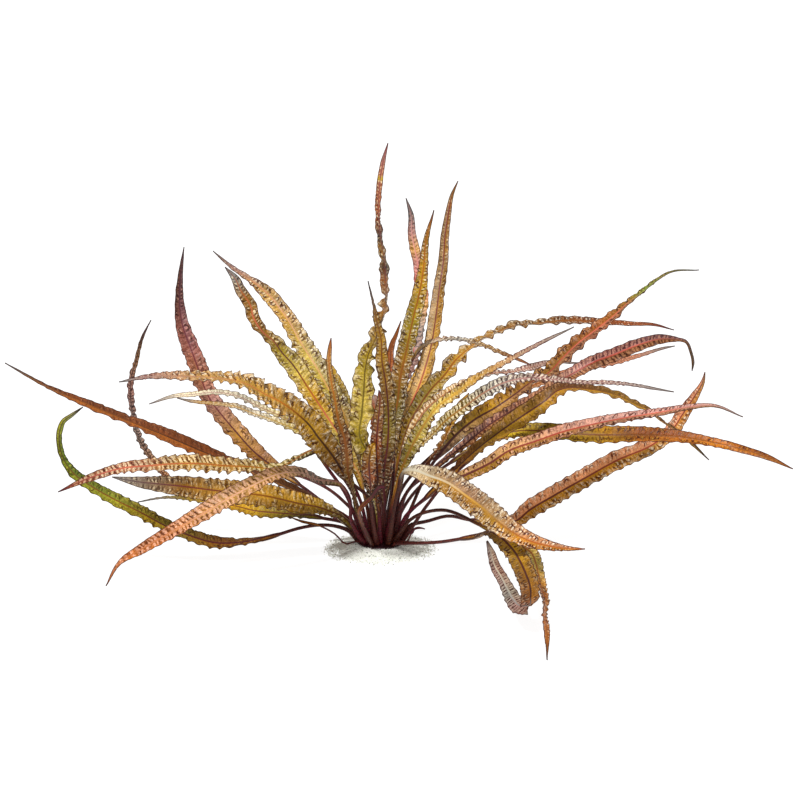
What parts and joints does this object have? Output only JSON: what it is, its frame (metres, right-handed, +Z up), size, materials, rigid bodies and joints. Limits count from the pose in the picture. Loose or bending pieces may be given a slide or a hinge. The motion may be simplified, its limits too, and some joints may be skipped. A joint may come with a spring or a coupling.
{
  "type": "cryptocoryne crispatula balansae aquarium plant",
  "caption": "Rosette of long, narrow, crinkled strap leaves on dark stalks, arching out from one crown in a low round patch of pale sand.",
  "frame": {"origin": "centre of the flat underside of the sand patch, below the crown", "axes": "+Z up, +X towards the side of the longest leaf, -Y towards the viewer of the front"},
  "size_m": [0.7523, 0.7084, 0.4007],
  "materials": {
    "leaf_brown": "satin",
    "leaf_gold": "satin",
    "leaf_maroon": "satin",
    "leaf_mauve": "satin",
    "leaf_olive": "satin",
    "leaf_peach": "satin",
    "leaf_rose": "satin",
    "leaf_rust": "satin",
    "leaf_salmon": "satin",
    "sand": "matte",
    "rhizome": "matte"
  },
  "bodies": {
    "root": {"sand_bed": "sand", "rhizome": "rhizome", "leaf_01": "leaf_rust", "leaf_02": "leaf_salmon", "leaf_03": "leaf_peach", "leaf_04": "leaf_olive", "leaf_05": "leaf_gold", "leaf_06": "leaf_olive", "leaf_07": "leaf_mauve", "leaf_08": "leaf_mauve", "leaf_09": "leaf_gold", "leaf_10": "leaf_rose", "leaf_11": "leaf_peach", "leaf_12": "leaf_olive", "leaf_13": "leaf_peach", "leaf_14": "leaf_salmon", "leaf_15": "leaf_gold", "leaf_16": "leaf_gold", "leaf_17": "leaf_brown", "leaf_18": "leaf_olive", "leaf_19": "leaf_rose", "leaf_20": "leaf_salmon", "leaf_21": "leaf_peach", "leaf_22": "leaf_salmon", "leaf_23": "leaf_gold", "leaf_24": "leaf_rose", "leaf_25": "leaf_salmon", "leaf_26": "leaf_peach", "leaf_27": "leaf_mauve", "leaf_28": "leaf_peach", "leaf_29": "leaf_olive", "leaf_30": "leaf_rose", "leaf_31": "leaf_peach", "leaf_32": "leaf_gold", "leaf_33": "leaf_salmon", "leaf_34": "leaf_salmon", "leaf_35": "leaf_rust", "leaf_36": "leaf_gold", "leaf_37": "leaf_brown", "leaf_38": "leaf_brown", "leaf_39": "leaf_maroon", "leaf_40": "leaf_brown", "leaf_41": "leaf_olive", "leaf_42": "leaf_gold", "leaf_43": "leaf_rust", "leaf_44": "leaf_olive", "leaf_45": "leaf_salmon", "leaf_46": "leaf_brown"}
  },
  "joints": []
}
